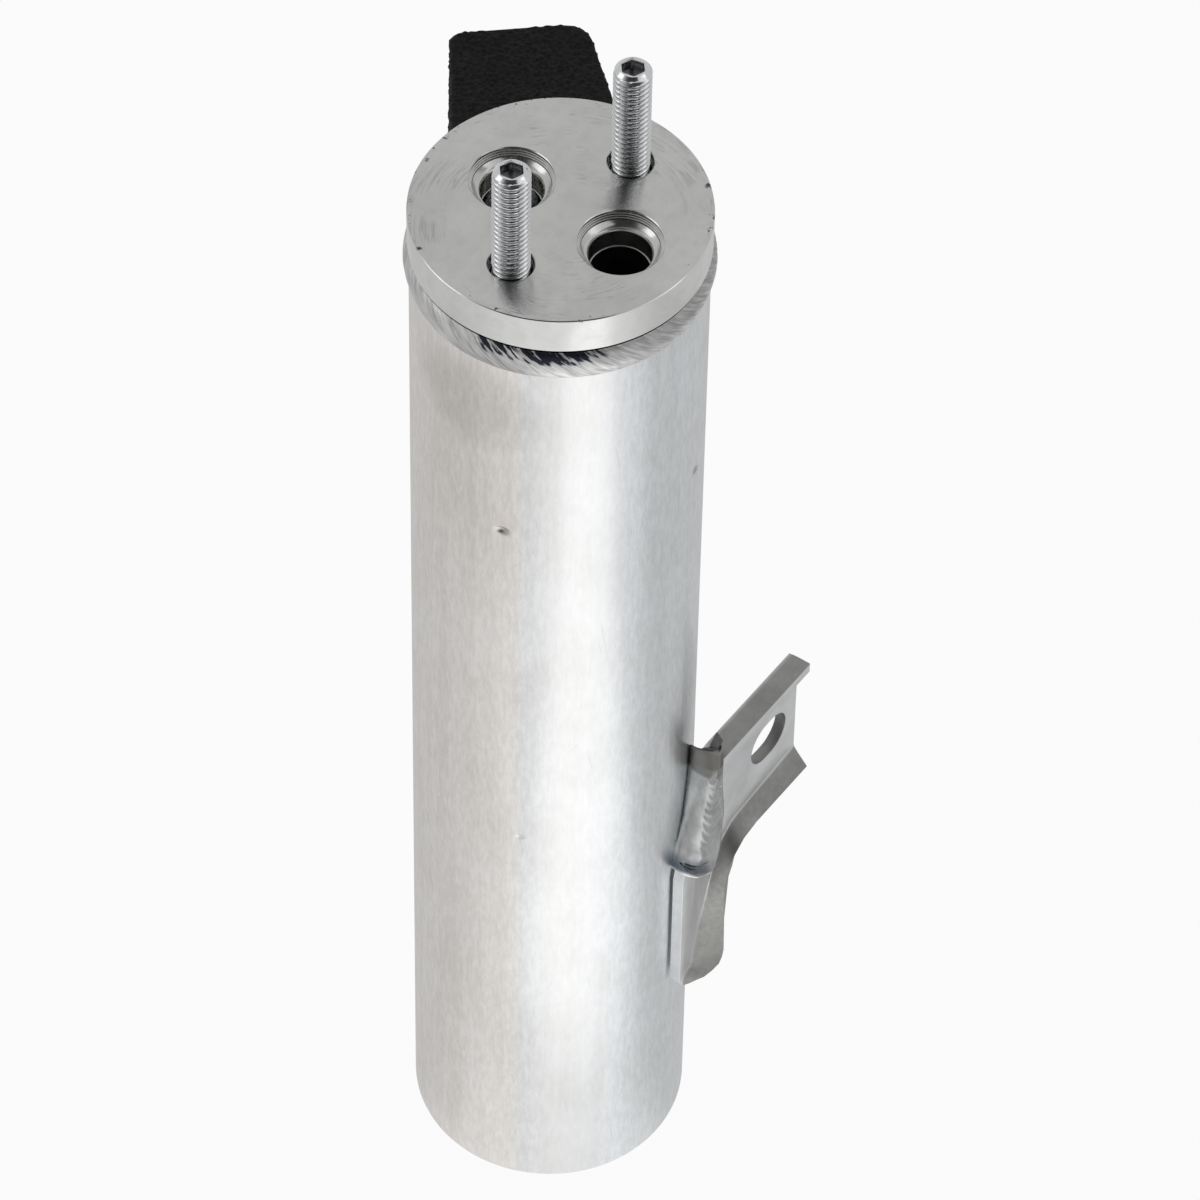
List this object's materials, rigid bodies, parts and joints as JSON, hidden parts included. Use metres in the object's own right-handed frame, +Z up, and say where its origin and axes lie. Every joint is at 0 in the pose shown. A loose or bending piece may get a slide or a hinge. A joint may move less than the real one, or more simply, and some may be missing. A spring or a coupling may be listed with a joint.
{
  "type": "filter drier",
  "caption": "Slim aluminium canister with a ported, studded header, a slotted side bracket and a foam pad; filters and dries refrigerant liquid.",
  "frame": {"origin": "centre of the canister's closed bottom face, on the canister's axis", "axes": "+Z up the canister's axis to the header, +X along the bracket's arm away from the canister, -Y the way the bracket's slotted face looks"},
  "size_m": [0.0663, 0.0698, 0.2324],
  "materials": {
    "bare_aluminium": "extruded, lightly drawn",
    "turned_aluminium": "turned",
    "weld_metal": "as welded, brushed",
    "zinc_steel": "zinc plated",
    "sheet_aluminium": "mill finish",
    "black_foam": "open-cell foam",
    "adhesive_film": "adhesive",
    "drawn_tube": "drawn",
    "green_rubber": "moulded",
    "pressed_steel": "pressed",
    "spring_wire": "drawn wire",
    "white_felt": "needled felt",
    "sieve_beads": "packed beads",
    "natural_nylon": "moulded",
    "wire_gauze": "woven wire"
  },
  "bodies": {
    "root": {"canister": "bare_aluminium", "header": "turned_aluminium", "rim_weld": "weld_metal", "stud_front": "zinc_steel", "stud_rear": "zinc_steel", "mounting_bracket": "sheet_aluminium", "bracket_weld": "weld_metal", "foam_pad": "black_foam", "foam_adhesive": "adhesive_film", "pickup_tube": "drawn_tube", "tube_o_ring": "green_rubber", "inlet_deflector": "pressed_steel", "retainer_plate": "pressed_steel", "bed_spring": "spring_wire", "upper_plate": "pressed_steel", "upper_felt": "white_felt", "desiccant_bed": "sieve_beads", "lower_felt": "white_felt", "lower_plate": "pressed_steel", "intake_strainer": "natural_nylon", "strainer_mesh": "wire_gauze"}
  },
  "joints": []
}
